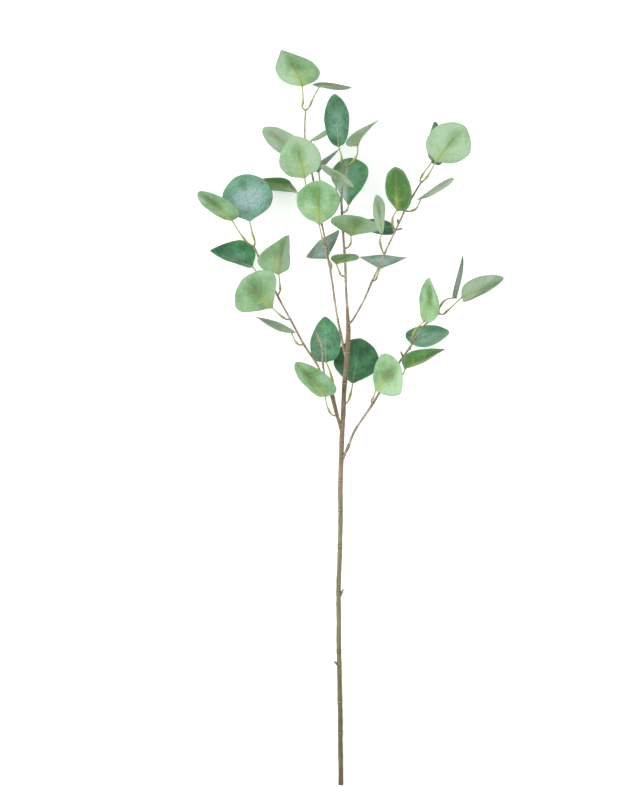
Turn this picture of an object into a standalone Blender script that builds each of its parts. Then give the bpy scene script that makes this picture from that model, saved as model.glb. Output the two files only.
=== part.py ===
"""A eucalyptus branch, cut and lying on a table.

The branch lies along Y with its cut end at -Y. X is to its right and Z is up, seen from above.
It is one woody stem with five side stems and a bud spur, and 37 leaves that sit on its nubs.
Lists and named sizes are in millimetres, and the model is in metres.
"""

import math
from collections import namedtuple

import bmesh
import bpy
from mathutils import Matrix, Vector

MM = 0.001

# Sizes that all leaves share
BLADE_THICKNESS = 0.8
CELLS_ACROSS = 4
CELLS_ALONG = 6
PETIOLE_RADIUS = 0.75
SLEEVE_SWELLING = 0.85
FULL_SLEEVE_LENGTH = 18.0
SLEEVE_AT = 0.3
SLEEVE_SPREAD = 0.2
RIB_RADIUS = 0.8
RIB_TIP_RADIUS = 0.35
RIB_SHARE = 0.6
PETIOLE_RINGS = 3
RIB_RINGS = 3

# Sizes that all stems share
NUB_LENGTH = 2.6
NUB_SPLAY = 0.6
NUB_RADIUS = 1.0
NUB_GAP = 0.4
PETIOLE_LEAD = 1.2
TABLE_SNAP = 0.1
ROUTE_STEP = 12.0

# How the tube profiles are cut: 6 sides on thin pieces and 8 on the main stem
THIN_PROFILE = 1
THICK_PROFILE = 2
FLAT_DOWN = math.radians(22.5)

# Each stem: x, y, z and diameter along its centreline, from its root to its tip
STEMS = {
    "main": [
        (-12, -428.5, 2.6, 5.6), (-12.5, -370, 2.6, 5.6), (-13, -329, 3.6, 5.6),
        (-14, -283, 7, 5.6), (-14.5, -235, 11.5, 5.6), (-14.5, -191, 16, 5.6),
        (-13, -149, 21, 5.6), (-12.5, -108, 26, 5.7), (-12.5, -72, 30, 5.8),
        (-11, -27, 35, 5.8), (-9.5, 4.5, 38, 5.6), (-8, 36, 41, 5.6),
        (-5.5, 67, 44, 5.8), (-3.5, 97, 47, 5.6), (-4.5, 119, 49, 4.0),
        (-6, 145.5, 50, 3.0), (-7, 173, 51, 2.9), (-9, 205.5, 52, 2.8),
        (-11, 235.5, 53, 2.8), (-11.5, 252, 53, 2.7), (-10.5, 270, 53, 2.6),
        (-8, 290.5, 54, 2.4),
    ],
    "left": [
        (-11.5, -16, 36, 3.6), (-13, -9, 37.5, 4.0), (-16.3, 2, 40, 4.2),
        (-20, 17, 42, 4.6), (-23, 28, 43, 5.0), (-32.5, 46, 44, 2.6),
        (-41.5, 65, 44, 2.5), (-55, 85, 43, 2.5), (-70.5, 114, 41, 2.4),
        (-84, 139, 38, 2.4), (-99, 168, 34, 2.3), (-106, 183.5, 31, 2.2),
        (-113, 199, 28, 2.2),
    ],
    "spur": [
        (-23, 28, 43, 3.0), (-30, 46, 47, 2.2), (-33, 63.5, 51, 2.0),
        (-33.5, 79.5, 55, 2.0), (-37.5, 91, 58, 2.4), (-40.5, 98, 60, 1.4),
    ],
    "top": [
        (-6, 68, 44.5, 2.6), (-9, 80, 46, 2.6), (-12, 96, 49, 2.5),
        (-15.5, 113, 52, 2.5), (-19.5, 136, 56, 2.4), (-22.5, 159, 59, 2.4),
        (-27, 184.5, 60, 2.3), (-31.5, 211, 58, 2.2), (-36.5, 234, 54, 2.2),
        (-41, 256.5, 50, 2.1), (-44.5, 277.5, 47, 2.1), (-49, 298, 44, 2.0),
        (-53, 316, 41, 2.0), (-54, 333.5, 38, 2.0), (-53, 356.5, 35, 2.0),
    ],
    "right": [
        (-4, 100, 47.5, 2.6), (-3, 107.5, 49, 2.6), (3, 116, 50, 2.5),
        (14.5, 136, 54, 2.4), (24, 158.5, 57, 2.4), (30.5, 172, 59, 2.4),
        (38, 189, 60, 2.3), (50, 215, 58, 2.2), (61.5, 239, 55, 2.2),
        (71, 256.5, 51, 2.1), (80.5, 272.5, 47, 2.1),
    ],
    "low": [
        (-11.5, -54, 32, 3.2), (-8.5, -44, 34, 3.2), (-4, -34, 36, 3.8),
        (1.5, -20, 39, 3.0), (7.5, -9, 42, 2.8), (15.5, 3, 44, 2.7),
        (24, 15.5, 46, 3.2), (35.5, 34, 47, 2.6), (52.5, 60.5, 47, 2.5),
        (68, 82, 45, 2.5), (74.5, 93, 43, 2.3), (85, 107.5, 40, 2.2),
        (101.5, 121, 35, 2.2),
    ],
}

# Bare nubs and buds: their root, their tip, and root and tip diameter
BUDS = [
    ("bud_low_right", (-13.6, -208.5, 14), (-8.7, -198.7, 17), 2.6, 1.8),
    ("bud_low_left", (-14.4, -217.8, 13), (-18.2, -216.2, 14.5), 2.4, 1.8),
    ("bud_lowest", (-14.2, -289.2, 6.6), (-20.3, -283.1, 9), 2.6, 1.6),
    ("bud_right_side", (54.2, 223.6, 57), (53.2, 229.4, 62), 1.6, 2.4),
    ("bud_right_free", (50.7, 216.5, 58), (59.2, 218.8, 62), 1.4, 2.2),
    ("bud_low_side", (59.6, 70.9, 46), (56.7, 77.5, 49), 1.8, 1.4),
    ("bud_spur", (-35.2, 85, 56.5), (-41.8, 90, 60), 1.6, 1.2),
]

# A leaf sits on the stem's point nearest to its joint. Base and tip are the ends of its blade.
# Roll turns the veined underside from facing up (0) towards the right of the way the leaf points.
# Egg widens the base end, point narrows the tip, fold keels it and arch bows it along the rib.
# Lobe draws the base corners back, skew only one of them, and peak gives the tip a corner.
Leaf = namedtuple(
    "Leaf",
    "name stem joint via base tip width roll egg point fold arch lobe skew peak",
    defaults=(0.1, 0.1, 0, 0, 0.06, 0, 0.03),
)

LEAVES = [
    Leaf("leaf_left_1", "left", (-15, 3), (-27.5, 12), (-31, 26, 52), (-64.5, 64, 74),
         38, -42, lobe=0.12, fold=0.35, skew=0.04),
    Leaf("leaf_left_2", "left", (-23, 28), (-24.5, 53), (-29.5, 66, 34), (-30.5, 117.5, 28),
         44, 145),
    Leaf("leaf_left_3", "left", (-55, 85), (-65, 89), (-69.5, 98, 45), (-110.5, 117.5, 34),
         38, 76, egg=0.15, point=0.35, fold=-0.05, lobe=0.05, skew=0.05),
    Leaf("leaf_left_4", "left", (-70.5, 114), (-83, 119.5), (-92.5, 128.5, 52), (-126, 161, 58),
         60, 0, egg=0, lobe=-0.1),
    Leaf("leaf_left_5", "left", (-85.5, 142), (-82.5, 153.5), (-84, 168, 46), (-72.5, 212, 50),
         42, 36, egg=0.5, point=0.2, fold=0.5, arch=-0.12, lobe=0.05, skew=-0.04, peak=0.05),
    Leaf("leaf_left_6", "left", (-99.5, 169), (-109, 169), (-116, 176, 30), (-164, 194, 26),
         50, -127, point=0.3, fold=0.6, arch=0.02, peak=0.05),
    Leaf("leaf_left_7", "left", (-113, 199), (-127.5, 212), (-139, 229.5, 36), (-176, 261, 58),
         44, -58, egg=0.1, fold=0.16, lobe=0.05, skew=0.03, peak=0),
    Leaf("leaf_left_8", "left", (-113, 199), (-115, 215), (-118, 230, 33), (-122.5, 283, 35),
         59, 180, egg=0.06, lobe=-0.03, peak=0),
    Leaf("leaf_main_1", "main", (-8.1, 16), (0, 31), (2, 42, 30), (11, 93, 24),
         53, 180, egg=0.04, lobe=-0.03, skew=0.03),
    Leaf("leaf_main_2", "main", (-8.8, 163), (-14, 169), (-17, 177.5, 54), (-1.5, 189, 92),
         34, 54, egg=0, lobe=-0.15),
    Leaf("leaf_main_3", "main", (-8, 195.5), (-0.5, 203.5), (-0.5, 211, 50), (9.5, 232, 88),
         60, 15, egg=0, lobe=-0.14, skew=-0.06),
    Leaf("leaf_main_4", "main", (-9.5, 237), (-4.5, 241.5), (-3, 247.5, 44), (-1, 302, 36),
         46, 160, egg=-0.2, point=0, lobe=-0.12),
    Leaf("leaf_main_5", "main", (-11.8, 250.5), (-17.5, 262), (-18.5, 275, 58), (-14, 282, 93),
         46, 0, egg=0, lobe=0),
    Leaf("leaf_main_6", "main", (-8, 290.5), (-11.5, 302), (-15, 313.5, 61), (-19, 373, 68),
         38, 140, egg=-0.08, lobe=0.02, peak=0.02),
    Leaf("leaf_main_7", "main", (-8, 290.5), (6, 302.5), (7.5, 315, 62), (32.5, 343, 80),
         32, 72, egg=0.5, point=0.35, fold=0.25, arch=-0.1, lobe=0.2),
    Leaf("leaf_top_1", "top", (-23.7, 169.5), (-24, 179), (-28.5, 185, 50), (-34.5, 208, 13),
         51, 153, lobe=-0.27, peak=0),
    Leaf("leaf_top_2", "top", (-30, 198.5), (-34, 208.5), (-37.5, 224, 68), (-39, 273.5, 70),
         51, 0, egg=0.03, lobe=-0.05, peak=0),
    Leaf("leaf_top_3", "top", (-43, 267), (-53, 262), (-63, 261, 28), (-104, 279, -4),
         45, 62, egg=-0.28, lobe=-0.1, peak=0),
    Leaf("leaf_top_4", "top", (-39.5, 248.5), (-35.8, 269), (-37.5, 285, 44), (-13, 312.5, 22),
         36, 102, arch=-0.08, lobe=0),
    Leaf("leaf_top_5", "top", (-39.5, 248.5), (-51, 263), (-54.5, 278.5, 58), (-66, 325.5, 62),
         49, -5, lobe=0.02),
    Leaf("leaf_top_6", "top", (-51, 306.5), (-57, 306), (-63, 308.5, 40), (-102.5, 336.5, 34),
         42, 47, lobe=0.03),
    Leaf("leaf_top_7", "top", (-53.3, 317.5), (-49.5, 319), (-45.5, 321, 34), (-5, 346.5, 22),
         38, -78),
    Leaf("leaf_top_8", "top", (-53, 356.5), (-56, 368.5), (-57, 386, 30), (-81, 424.5, 58),
         50, -33, egg=0.36, point=0.25, fold=0.12, arch=-0.08, lobe=0.04, skew=0.05, peak=0.05),
    Leaf("leaf_top_9", "top", (-53, 356.5), (-45, 368.5), (-37, 382.5, 46), (0, 384.5, 25),
         43, -74, point=0.1, fold=-0.05, lobe=0.07, skew=-0.05),
    Leaf("leaf_right_1", "right", (24, 158), (29.5, 163), (33, 173, 50), (38, 189.5, 10),
         57, 163, egg=0, lobe=-0.33, peak=0),
    Leaf("leaf_right_2", "right", (38, 189), (32.5, 204), (34.5, 211.5, 84), (29, 256, 92),
         31, 62, egg=-0.35, lobe=0),
    Leaf("leaf_right_3", "right", (50, 215.5), (49, 218.5), (48, 221, 50), (10, 221, 34),
         38, 118),
    Leaf("leaf_right_4", "right", (50, 216.5), (47.5, 231), (52.5, 240.5, 66), (50.5, 289.5, 74),
         40, -40, egg=-0.02, point=0.1, fold=0.2, lobe=0.03, skew=0.08),
    Leaf("leaf_right_5", "right", (63, 238.5), (75, 242), (80.5, 253, 54), (117, 278.5, 40),
         39, -76, egg=-0.2, fold=0.08, lobe=0.06, skew=-0.08),
    Leaf("leaf_right_6", "right", (80.5, 272.5), (84, 284), (93.5, 297.5, 31), (96.5, 344, 26),
         43, 118, fold=-0.25, lobe=0.08, skew=-0.12),
    Leaf("leaf_right_7", "right", (80.5, 272.5), (90, 282.5), (98, 297, 56), (129, 338, 62),
         51, 0, lobe=-0.01, skew=-0.05, peak=0),
    Leaf("leaf_low_1", "low", (24, 16.5), (25.5, 24.5), (28.5, 32.5, 58), (55, 61.5, 90),
         57, -35, egg=-0.05, lobe=-0.06, skew=-0.06, peak=0),
    Leaf("leaf_low_2", "low", (43.5, 46), (59.5, 51), (63, 57.5, 52), (108, 80, 68),
         40, 65, egg=0.35, point=0.35, fold=0.34, lobe=0.05),
    Leaf("leaf_low_3", "low", (65.3, 78.5), (68.5, 81), (71.5, 86, 29), (113, 103, 8),
         47, 125, fold=0.2, lobe=0.1),
    Leaf("leaf_low_4", "low", (70, 86), (74, 102), (84, 112, 58), (89.5, 161.5, 74),
         43, -58, egg=-0.1, arch=-0.08, lobe=0.05, peak=0.08),
    Leaf("leaf_low_5", "low", (101.5, 121), (108, 136), (120, 140.5, 40), (129.5, 187.5, 42),
         38, 98, point=0.2, lobe=0.14),
    Leaf("leaf_low_6", "low", (101.5, 121), (114, 126.5), (129.5, 140.5, 22), (178.5, 162, -3),
         43, 60, egg=0.22, fold=0.2, lobe=0.05, skew=-0.05),
]

# Linear colour, roughness
BARK = ((0.16, 0.11, 0.065), 0.75)
PALE_LEAF = ((0.25, 0.42, 0.21), 0.55)
DARK_LEAF = ((0.06, 0.2, 0.1), 0.45)


def clear_scene():
    for obj in list(bpy.data.objects):
        bpy.data.objects.remove(obj, do_unlink=True)


def make_material(name, look):
    colour, roughness = look
    material = bpy.data.materials.new(name)
    material.use_nodes = True
    shader = material.node_tree.nodes["Principled BSDF"]
    shader.inputs["Base Color"].default_value = (*colour, 1.0)
    shader.inputs["Roughness"].default_value = roughness
    shader.inputs["Metallic"].default_value = 0.0
    return material


def catmull_rom(before, start, end, after, t):
    """The point at t, from 0 to 1, of a smooth curve from start to end."""
    bend = (
        2 * start
        + (end - before) * t
        + (2 * before - 5 * start + 4 * end - after) * t * t
        + (3 * start - before - 3 * end + after) * t ** 3
    )
    return bend / 2


def smooth_route(points):
    """A Catmull-Rom curve through the points, with a point about every ROUTE_STEP."""
    values = [Vector(point) for point in points]
    ends = [2 * values[0] - values[1]] + values + [2 * values[-1] - values[-2]]
    route = []
    for before, start, end, after in zip(ends, ends[1:], ends[2:], ends[3:]):
        parts = max(1, round((end - start).length / ROUTE_STEP))
        for part in range(parts):
            t = part / parts
            route.append(catmull_rom(before, start, end, after, t))
    route.append(values[-1])
    return route


def tube(name, points, radii, profile, tilt=0.0):
    """A closed tube mesh through the points, in millimetres, with a radius at each."""
    curve = bpy.data.curves.new(name, "CURVE")
    curve.dimensions = "3D"
    curve.bevel_depth = MM
    curve.bevel_resolution = profile
    curve.use_fill_caps = True
    curve.twist_mode = "Z_UP" if tilt else "MINIMUM"
    spline = curve.splines.new("POLY")
    spline.points.add(len(points) - 1)
    for spot, point, radius in zip(spline.points, points, radii):
        spot.co = (*(Vector(point) * MM), 1.0)
        spot.radius = radius
        spot.tilt = tilt
    guide = bpy.data.objects.new(name, curve)
    bpy.context.collection.objects.link(guide)
    bpy.context.view_layer.update()
    shape = guide.evaluated_get(bpy.context.evaluated_depsgraph_get())
    mesh = bpy.data.meshes.new_from_object(shape)
    piece = bpy.data.objects.new(name, mesh)
    piece.matrix_world = guide.matrix_world
    bpy.context.collection.objects.link(piece)
    bpy.data.objects.remove(guide, do_unlink=True)
    body = bmesh.new()
    body.from_mesh(mesh)
    bmesh.ops.remove_doubles(body, verts=body.verts, dist=1e-6)
    bmesh.ops.recalc_face_normals(body, faces=body.faces)
    body.to_mesh(mesh)
    body.free()
    return piece


def union(base, others):
    """Joins the other objects into the base with one Boolean and removes them."""
    group = bpy.data.collections.new(base.name + "_joined")
    for other in others:
        group.objects.link(other)
    join = base.modifiers.new("join", "BOOLEAN")
    join.operation = "UNION"
    join.operand_type = "COLLECTION"
    join.collection = group
    join.solver = "EXACT"
    bpy.context.view_layer.update()
    shape = base.evaluated_get(bpy.context.evaluated_depsgraph_get())
    mesh = bpy.data.meshes.new_from_object(shape)
    base.modifiers.clear()
    base.data = mesh
    for other in others:
        bpy.data.objects.remove(other, do_unlink=True)
    bpy.data.collections.remove(group)
    return base


def nearest_on_stem(leaf, routes):
    """The stem's point nearest to the leaf's joint, seen from above, and the way the stem runs."""
    joint = Vector(leaf.joint)
    route = routes[leaf.stem]
    best = None
    for start, end in zip(route, route[1:]):
        run = (end - start).xy
        share = min(max((joint - start.xy).dot(run) / run.length_squared, 0.0), 1.0)
        spot = start.lerp(end, share)
        gap = (spot.xy - joint).length
        if best is None or gap < best[0]:
            best = (gap, spot.xyz, (end - start).xyz.normalized(), spot.w / 2)
    return best[1:]


def via_point(leaf, root, base):
    """The petiole's middle point, seen from above in the list, and as high as its place asks."""
    spot = Vector(leaf.via)
    before = (spot - root.xy).length
    after = (base.xy - spot).length
    height = root.z + (base.z - root.z) * before / max(before + after, 0.1)
    return Vector((*spot, height))


def nub_for(leaf, routes):
    """Where the leaf's nub starts and ends, and the direction it points."""
    centre, along, radius = nearest_on_stem(leaf, routes)
    aim = via_point(leaf, centre, Vector(leaf.base)) - centre
    side = (aim - along * aim.dot(along)).normalized()
    way = (aim.normalized() + side * NUB_SPLAY).normalized()
    return centre, centre + side * radius + way * NUB_LENGTH, way


def make_stem(routes, material):
    pieces = []
    for name, route in routes.items():
        points = [spot.xyz for spot in route]
        radii = [spot.w / 2 for spot in route]
        thick = name == "main"
        profile = THICK_PROFILE if thick else THIN_PROFILE
        pieces.append(tube(name, points, radii, profile, FLAT_DOWN if thick else 0.0))
    for name, root, tip, root_width, tip_width in BUDS:
        middle = (Vector(root) + Vector(tip)) / 2
        widest = max(root_width, tip_width) * 0.55
        radii = [root_width / 2, widest, tip_width / 3]
        pieces.append(tube(name, [root, middle, tip], radii, THIN_PROFILE))
    for leaf in LEAVES:
        centre, end = nub_for(leaf, routes)[:2]
        radii = [NUB_RADIUS * 1.2, NUB_RADIUS]
        pieces.append(tube("nub_" + leaf.name, [centre, end], radii, THIN_PROFILE))
    stem = union(pieces[0], pieces[1:])
    stem.name = "stem"
    for vert in stem.data.vertices:
        if vert.co.z < TABLE_SNAP * MM:
            vert.co.z = 0.0
    stem.data.materials.clear()
    stem.data.materials.append(material)
    return stem


def leaf_frame(leaf):
    """The leaf's own axes: X across, Y from base to tip, Z out of the veined underside."""
    base = Vector(leaf.base)
    along = (Vector(leaf.tip) - base).normalized()
    up = Vector((0, 0, 1))
    up = (up - along * up.dot(along)).normalized()
    right = along.cross(up)
    roll = math.radians(leaf.roll)
    under = up * math.cos(roll) + right * math.sin(roll)
    across = along.cross(under)
    return Matrix((
        (*[across.x, along.x, under.x], base.x),
        (*[across.y, along.y, under.y], base.y),
        (*[across.z, along.z, under.z], base.z),
        (0, 0, 0, 1),
    ))


def blade_point(leaf, length, p, q):
    """A point of the blade's middle surface, for a place p, q in a round disc of radius 1."""
    tip_side = max(q, 0.0)
    half = leaf.width / 2 * (1 - leaf.egg * q) * (1 - leaf.point * tip_side * tip_side)
    x = half * p
    back = (leaf.lobe * abs(p) + leaf.skew * p) * (1 - q) + leaf.peak * abs(p) * (1 + q)
    y = length * ((1 + q) / 2 - back)
    share = (1 + q) / 2
    keel = -leaf.fold * (math.hypot(x, 2.0) - 2.0)
    bow = leaf.arch * length * 4 * share * (1 - share)
    return Vector((x, y, keel + bow))


def rest_on_table(point):
    """Lifts a point of the blade to where the table stops it."""
    return Vector((point.x, point.y, max(point.z, BLADE_THICKNESS / 2)))


def make_blade(leaf, frame, length):
    body = bmesh.new()
    bmesh.ops.create_grid(body, x_segments=CELLS_ACROSS, y_segments=CELLS_ALONG, size=1.0)
    for vert in body.verts:
        a, b = vert.co.x, vert.co.y
        p = a * math.sqrt(1 - b * b / 2)
        q = b * math.sqrt(1 - a * a / 2)
        vert.co = rest_on_table(frame @ blade_point(leaf, length, p, q)) * MM
    bmesh.ops.triangulate(body, faces=body.faces)
    mesh = bpy.data.meshes.new(leaf.name)
    body.to_mesh(mesh)
    body.free()
    blade = bpy.data.objects.new(leaf.name, mesh)
    bpy.context.collection.objects.link(blade)
    shell = blade.modifiers.new("thickness", "SOLIDIFY")
    shell.thickness = BLADE_THICKNESS * MM
    shell.offset = 0.0
    bpy.context.view_layer.update()
    shape = blade.evaluated_get(bpy.context.evaluated_depsgraph_get())
    solid = bpy.data.meshes.new_from_object(shape)
    blade.modifiers.clear()
    blade.data = solid
    return blade


def petiole_route(leaf, frame, length, routes):
    """Points and radii from the nub, through the thick sleeve, and up the blade's rib."""
    nub_end, way = nub_for(leaf, routes)[1:]
    start = nub_end + way * NUB_GAP
    root = start + way * PETIOLE_LEAD
    base = frame @ blade_point(leaf, length, 0, -1)
    after = frame @ blade_point(leaf, length, 0, -0.6)
    via = via_point(leaf, root, base)
    before = root - way * (via - root).length
    points = [start]
    radii = [PETIOLE_RADIUS]
    for corners in ((before, root, via, base), (root, via, base, after)):
        for ring in range(PETIOLE_RINGS):
            points.append(catmull_rom(*corners, ring / PETIOLE_RINGS))
    swelling = SLEEVE_SWELLING * min(1.0, (base - root).length / FULL_SLEEVE_LENGTH)
    for ring in range(2 * PETIOLE_RINGS):
        share = (ring / (2 * PETIOLE_RINGS) - SLEEVE_AT) / SLEEVE_SPREAD
        radii.append(PETIOLE_RADIUS + swelling * math.exp(-share * share))
    for ring in range(RIB_RINGS + 1):
        share = ring / RIB_RINGS
        spot = blade_point(leaf, length, 0, 2 * share * RIB_SHARE - 1)
        spot.z += BLADE_THICKNESS / 2 * (1 - 0.5 * share)
        points.append(frame @ spot)
        radii.append(RIB_RADIUS + (RIB_TIP_RADIUS - RIB_RADIUS) * share)
    return points, radii


def make_leaf(leaf, routes, material):
    frame = leaf_frame(leaf)
    length = (Vector(leaf.tip) - Vector(leaf.base)).length
    blade = make_blade(leaf, frame, length)
    points, radii = petiole_route(leaf, frame, length, routes)
    rib = tube(leaf.name + "_rib", points, radii, THIN_PROFILE)
    union(blade, [rib])
    for vert in blade.data.vertices:
        if vert.co.z < TABLE_SNAP * MM:
            vert.co.z = 0.0
    blade.data.materials.clear()
    blade.data.materials.append(material)
    return blade


def shows_dark_side(leaf):
    return abs(leaf.roll) > 90


def main():
    clear_scene()
    branch = bpy.data.collections.new("eucalyptus_branch")
    bpy.context.scene.collection.children.link(branch)
    layer = bpy.context.view_layer.layer_collection.children[branch.name]
    bpy.context.view_layer.active_layer_collection = layer
    routes = {name: smooth_route(points) for name, points in STEMS.items()}
    make_stem(routes, make_material("bark", BARK))
    pale = make_material("leaf_pale", PALE_LEAF)
    dark = make_material("leaf_dark", DARK_LEAF)
    for leaf in LEAVES:
        make_leaf(leaf, routes, dark if shows_dark_side(leaf) else pale)


main()
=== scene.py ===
"""Looks of the eucalyptus branch: fine leaves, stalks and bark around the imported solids.

Lists and named sizes are in millimetres, and the scene is in metres.
"""

import math
from collections import namedtuple

import bmesh
import bpy
from mathutils import Matrix, Vector


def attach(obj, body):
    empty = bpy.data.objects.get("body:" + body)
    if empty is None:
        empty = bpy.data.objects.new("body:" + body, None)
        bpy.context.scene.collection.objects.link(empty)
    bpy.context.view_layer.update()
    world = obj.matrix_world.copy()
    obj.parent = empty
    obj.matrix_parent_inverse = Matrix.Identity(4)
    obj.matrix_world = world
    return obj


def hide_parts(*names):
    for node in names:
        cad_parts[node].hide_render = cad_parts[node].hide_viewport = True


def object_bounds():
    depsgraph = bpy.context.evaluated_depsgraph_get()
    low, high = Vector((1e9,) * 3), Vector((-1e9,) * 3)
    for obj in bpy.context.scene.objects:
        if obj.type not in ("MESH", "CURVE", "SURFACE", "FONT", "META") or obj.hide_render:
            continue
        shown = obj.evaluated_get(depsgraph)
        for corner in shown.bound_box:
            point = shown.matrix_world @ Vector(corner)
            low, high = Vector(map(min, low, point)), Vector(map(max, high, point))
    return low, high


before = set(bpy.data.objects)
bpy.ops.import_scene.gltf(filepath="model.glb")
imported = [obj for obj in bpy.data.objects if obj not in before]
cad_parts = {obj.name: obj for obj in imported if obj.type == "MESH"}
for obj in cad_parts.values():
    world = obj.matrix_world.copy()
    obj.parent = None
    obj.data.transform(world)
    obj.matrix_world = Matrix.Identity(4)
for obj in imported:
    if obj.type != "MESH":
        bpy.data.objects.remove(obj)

CAD_LOW, CAD_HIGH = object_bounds()
MM = 0.001

# Sizes of the leaves, as in the solids where the name is the same
BLADE_THICKNESS = 0.8
SHOWN_THICKNESS = 0.5
EDGE_THINNING = 0.45  # the share of its thickness that a blade loses at its edge
KEEL_ROUNDING = 2.0
PETIOLE_RADIUS = 0.75
STALK_ROOT_RADIUS = 0.95
STALK_SINK = 0.5  # how far a shown stalk reaches back over the gap and into its nub
SLEEVE_SWELLING = 0.85
FULL_SLEEVE_LENGTH = 18.0
SLEEVE_AT = 0.3
SLEEVE_SPREAD = 0.2
RIB_RADIUS = 0.75
RIB_TIP_RADIUS = 0.2
RIB_SHARE = 0.62
WAVE_HEIGHT = 0.5
EDGE_DENT = 0.6
BASE_POINT = 2.4  # how far a blade runs down its stalk in a small point
BASE_POINT_WIDTH = 0.14  # as a share of the blade's half width
VEIN_RELIEF = 0.3

# Where the two pairs of strong side veins leave the rib, from -1 at the base, and how steeply they rise
FORK_START = -0.62
FORK_RISE = 0.55
UPPER_START = -0.12
UPPER_RISE = 0.85

# The material slots of a leaf
UNDERSIDE = 0
UPPER_SIDE = 1
STALK = 2

# How finely the leaves are divided
CELLS_ACROSS = 32
CELLS_ALONG = 40
STALK_SIDES = 10
HALF_STALK_RINGS = 10
RIB_RINGS = 16

# Sizes of the stems
NUB_LENGTH = 2.6
NUB_SPLAY = 0.6
NUB_RADIUS = 1.0
NUB_GAP = 0.4
PETIOLE_LEAD = 1.2
BUD_SWELL = 0.35  # how much thicker a bud is in its middle, as a share
RING_SPREAD = 1.6
RING_HEIGHT = 0.28
STEM_SWAY = 0.12
TWIG_DIAMETER = 3.6  # a thinner stem has the colours of a twig

# How finely the stems are divided
ROUTE_STEP = 2.0
STEM_SIDES = 16
NUB_SIDES = 12
NUB_RINGS = 6
BUD_RINGS = 8

# The floor
FLOOR_REACH = 4000.0
FLOOR_DROP = 0.5

# Each stem: x, y, z and diameter along its centreline, from its root to its tip
STEMS = {
    "main": [
        (-12, -428.5, 2.6, 5.6), (-12.5, -370, 2.6, 5.6), (-13, -329, 3.6, 5.6),
        (-14, -283, 7, 5.6), (-14.5, -235, 11.5, 5.6), (-14.5, -191, 16, 5.6),
        (-13, -149, 21, 5.6), (-12.5, -108, 26, 5.7), (-12.5, -72, 30, 5.8),
        (-11, -27, 35, 5.8), (-9.5, 4.5, 38, 5.6), (-8, 36, 41, 5.6),
        (-5.5, 67, 44, 5.8), (-3.5, 97, 47, 5.6), (-4.5, 119, 49, 4.0),
        (-6, 145.5, 50, 3.0), (-7, 173, 51, 2.9), (-9, 205.5, 52, 2.8),
        (-11, 235.5, 53, 2.8), (-11.5, 252, 53, 2.7), (-10.5, 270, 53, 2.6),
        (-8, 290.5, 54, 2.4),
    ],
    "left": [
        (-11.5, -16, 36, 3.6), (-13, -9, 37.5, 4.0), (-16.3, 2, 40, 4.2),
        (-20, 17, 42, 4.6), (-23, 28, 43, 5.0), (-32.5, 46, 44, 2.6),
        (-41.5, 65, 44, 2.5), (-55, 85, 43, 2.5), (-70.5, 114, 41, 2.4),
        (-84, 139, 38, 2.4), (-99, 168, 34, 2.3), (-106, 183.5, 31, 2.2),
        (-113, 199, 28, 2.2),
    ],
    "spur": [
        (-23, 28, 43, 3.0), (-30, 46, 47, 2.2), (-33, 63.5, 51, 2.0),
        (-33.5, 79.5, 55, 2.0), (-37.5, 91, 58, 2.4), (-40.5, 98, 60, 1.4),
    ],
    "top": [
        (-6, 68, 44.5, 2.6), (-9, 80, 46, 2.6), (-12, 96, 49, 2.5),
        (-15.5, 113, 52, 2.5), (-19.5, 136, 56, 2.4), (-22.5, 159, 59, 2.4),
        (-27, 184.5, 60, 2.3), (-31.5, 211, 58, 2.2), (-36.5, 234, 54, 2.2),
        (-41, 256.5, 50, 2.1), (-44.5, 277.5, 47, 2.1), (-49, 298, 44, 2.0),
        (-53, 316, 41, 2.0), (-54, 333.5, 38, 2.0), (-53, 356.5, 35, 2.0),
    ],
    "right": [
        (-4, 100, 47.5, 2.6), (-3, 107.5, 49, 2.6), (3, 116, 50, 2.5),
        (14.5, 136, 54, 2.4), (24, 158.5, 57, 2.4), (30.5, 172, 59, 2.4),
        (38, 189, 60, 2.3), (50, 215, 58, 2.2), (61.5, 239, 55, 2.2),
        (71, 256.5, 51, 2.1), (80.5, 272.5, 47, 2.1),
    ],
    "low": [
        (-11.5, -54, 32, 3.2), (-8.5, -44, 34, 3.2), (-4, -34, 36, 3.8),
        (1.5, -20, 39, 3.0), (7.5, -9, 42, 2.8), (15.5, 3, 44, 2.7),
        (24, 15.5, 46, 3.2), (35.5, 34, 47, 2.6), (52.5, 60.5, 47, 2.5),
        (68, 82, 45, 2.5), (74.5, 93, 43, 2.3), (85, 107.5, 40, 2.2),
        (101.5, 121, 35, 2.2),
    ],
}

# Bare nubs and buds: their root, their tip, and root and tip diameter
BUDS = [
    ((-13.6, -208.5, 14), (-8.7, -198.7, 17), 2.6, 1.8),
    ((-14.4, -217.8, 13), (-18.2, -216.2, 14.5), 2.4, 1.8),
    ((-14.2, -289.2, 6.6), (-20.3, -283.1, 9), 2.6, 1.6),
    ((54.2, 223.6, 57), (53.2, 229.4, 62), 1.6, 2.4),
    ((50.7, 216.5, 58), (59.2, 218.8, 62), 1.4, 2.2),
    ((59.6, 70.9, 46), (56.7, 77.5, 49), 1.8, 1.4),
    ((-35.2, 85, 56.5), (-41.8, 90, 60), 1.6, 1.2),
]

# Where rings go round each stem, as Y
RINGS = {
    "main": (-367, -331, -272, -204, -149, -106, -72, -30, 2, 40, 76, 104, 160, 192, 234, 262),
    "left": (-8, 6, 21, 46, 66, 84, 113, 141, 168, 186),
    "spur": (46, 63, 79),
    "top": (79, 96, 113, 136, 168, 197, 224, 248, 277, 305, 334),
    "right": (110, 128, 157, 174, 189, 203, 216, 238, 257),
    "low": (-44, -33, -12, 2, 16, 33, 46, 60, 79, 93, 108),
}

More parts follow.
